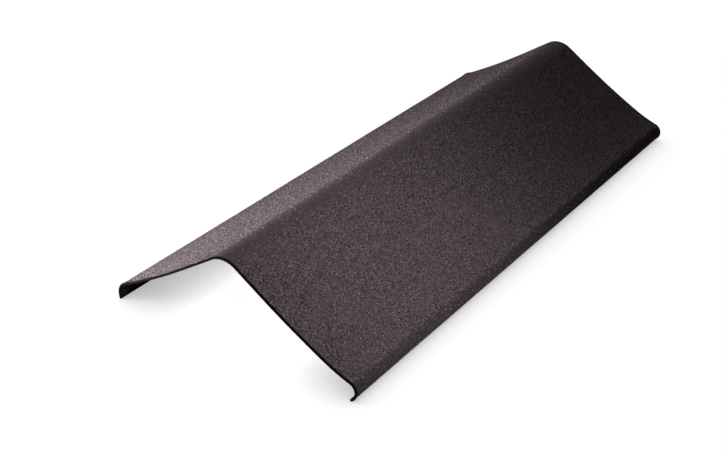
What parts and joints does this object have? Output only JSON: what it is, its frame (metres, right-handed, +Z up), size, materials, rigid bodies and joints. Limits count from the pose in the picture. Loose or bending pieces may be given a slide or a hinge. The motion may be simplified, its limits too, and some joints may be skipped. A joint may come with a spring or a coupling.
{
  "type": "verge flashing",
  "caption": "Long folded strip of bituminous fibre board with a rounded ridge, a leaf to either side and rolled lips, laid over the sloping edge of a sheet roof to shed rain.",
  "frame": {"origin": "on the floor under the piece, in the middle of its length and of its width across both lips", "axes": "+X across the leaves towards the roof leaf with the tightly rolled lip, +Y along the ridge, +Z up"},
  "size_m": [0.4472, 1, 0.1497],
  "materials": {
    "bitumen_board": "matte"
  },
  "bodies": {
    "root": {"verge_flashing": "bitumen_board"}
  },
  "joints": []
}
